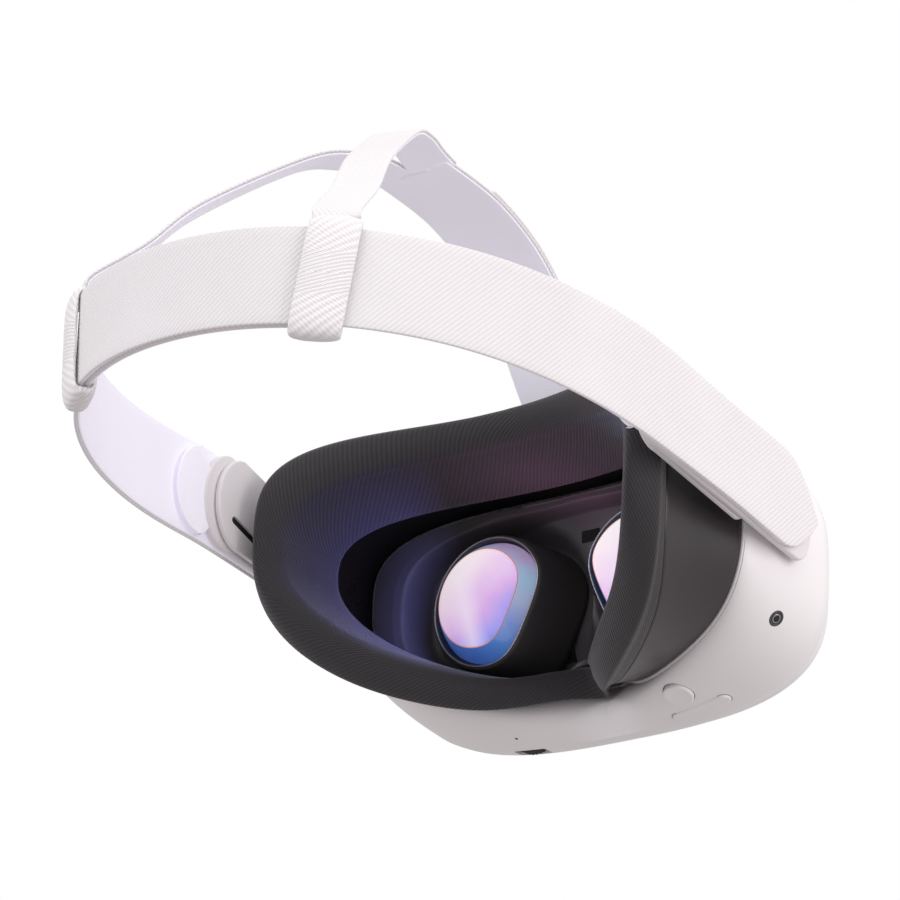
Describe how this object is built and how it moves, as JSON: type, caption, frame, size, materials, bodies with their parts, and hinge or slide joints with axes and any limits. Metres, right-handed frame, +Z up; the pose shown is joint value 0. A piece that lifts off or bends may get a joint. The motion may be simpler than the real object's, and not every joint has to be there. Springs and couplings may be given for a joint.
{
  "type": "vr headset",
  "caption": "Standalone virtual reality headset: visor with paired lenses and a knitted face cushion, rigid side arms and an adjustable webbing head strap with a forked top strap.",
  "frame": {"origin": "centre of the bounding box at its underside, which is the flat rest area under the visor", "axes": "+Z up, -Y is the way the wearer looks, +Y runs back along the head strap, +X is the wearer's left"},
  "size_m": [0.1846, 0.2692, 0.1671],
  "materials": {
    "shell": "satin",
    "dark_plastic": "satin",
    "knit_foam": "matte",
    "webbing": "matte",
    "lens": "gloss",
    "window": "gloss",
    "board": "matte",
    "copper": "satin",
    "steel": "satin",
    "cell": "satin"
  },
  "bodies": {
    "visor": {"rear_body": "shell", "front_shell": "shell", "camera_window_left": "window", "camera_window_middle": "window", "camera_window_right": "window", "inner_bezel": "dark_plastic", "guide_rail": "steel", "main_board": "board", "heat_sink": "copper", "battery": "cell", "proximity_sensor": "window", "fan_housing": "dark_plastic", "audio_jack": "dark_plastic", "charge_port": "steel", "top_bracket": "dark_plastic"},
    "interface": {"interface_frame": "dark_plastic", "face_cushion": "knit_foam"},
    "optics_left": {"lens_barrel_left": "dark_plastic", "lens_left": "lens", "display_left": "window", "rack_left": "steel"},
    "optics_right": {"lens_barrel_right": "dark_plastic", "lens_right": "lens", "display_right": "window", "rack_right": "steel"},
    "pinion": {"ipd_pinion": "steel"},
    "thumb_wheel": {"ipd_wheel": "dark_plastic"},
    "fan": {"fan_rotor": "dark_plastic"},
    "button": {"under_button": "shell"},
    "rocker": {"volume_rocker": "shell"},
    "power": {"power_button": "shell"},
    "strap": {"side_arm_left": "shell", "side_arm_right": "shell", "arm_cover_left": "shell", "arm_cover_right": "shell", "speaker_left": "dark_plastic", "speaker_right": "dark_plastic", "strap_tab_left": "webbing", "strap_tab_right": "webbing", "arm_pivot_left": "dark_plastic", "arm_pivot_right": "dark_plastic", "strap_left": "webbing", "strap_right": "webbing", "top_strap": "webbing", "top_strap_tail": "webbing", "strap_branch_left": "webbing", "strap_branch_right": "webbing"},
    "loop_left": {"slider_loop_left": "webbing"},
    "loop_right": {"slider_loop_right": "webbing"}
  },
  "joints": [
    {"name": "strap_tilt", "type": "hinge", "parent": "visor", "child": "strap", "pos_m": [0, -0.07359, 0.0575], "axis": [1, 0, 0], "range_deg": [-10, 10]},
    {"name": "interface_depth", "type": "slide", "parent": "visor", "child": "interface", "axis": [0, 1, 0], "range_m": [0, 0.003]},
    {"name": "lens_spacing_left", "type": "slide", "parent": "visor", "child": "optics_left", "axis": [1, 0, 0], "range_m": [-0.00275, 0.00375]},
    {"name": "lens_spacing_right", "type": "slide", "parent": "visor", "child": "optics_right", "axis": [1, 0, 0], "range_m": [-0.00375, 0.00275]},
    {"name": "spacing_pinion", "type": "hinge", "parent": "visor", "child": "pinion", "pos_m": [0, -0.10259, 0.046], "axis": [0, 1, 0], "range_deg": [-29, 39]},
    {"name": "spacing_wheel", "type": "hinge", "parent": "visor", "child": "thumb_wheel", "pos_m": [0.034, -0.10059, 0.0095], "axis": [0, 1, 0], "range_deg": [-18, 24.2]},
    {"name": "fan_spin", "type": "hinge", "parent": "visor", "child": "fan", "pos_m": [0, -0.12159, 0.056], "axis": [0, 1, 0], "continuous": true},
    {"name": "button_press", "type": "slide", "parent": "visor", "child": "button", "axis": [0, 0, 1], "range_m": [0, 0.0008], "stiffness_N_per_m": 700},
    {"name": "rocker_tilt", "type": "hinge", "parent": "visor", "child": "rocker", "pos_m": [-0.04, -0.09459, 0.0032], "axis": [-0.1197, 0.9928, 0], "range_deg": [-1.4, 1.4], "stiffness_Nm_per_rad": 0.06},
    {"name": "power_press", "type": "slide", "parent": "visor", "child": "power", "axis": [-1, 0, 0], "range_m": [0, 0.0008], "stiffness_N_per_m": 700},
    {"name": "loop_slide_left", "type": "hinge", "parent": "strap", "child": "loop_left", "pos_m": [-0.0065, 0.04331, 0.076], "axis": [0, 0, 1], "range_deg": [-2, 2]},
    {"name": "loop_slide_right", "type": "hinge", "parent": "strap", "child": "loop_right", "pos_m": [0.0065, 0.04331, 0.076], "axis": [0, 0, 1], "range_deg": [-2, 2]}
  ],
  "couplings": [
    {"joint": "lens_spacing_right", "follows": "lens_spacing_left", "ratio": -1},
    {"joint": "spacing_pinion", "follows": "lens_spacing_left", "rad_per_m": 175},
    {"joint": "spacing_wheel", "follows": "lens_spacing_left", "rad_per_m": 111}
  ]
}
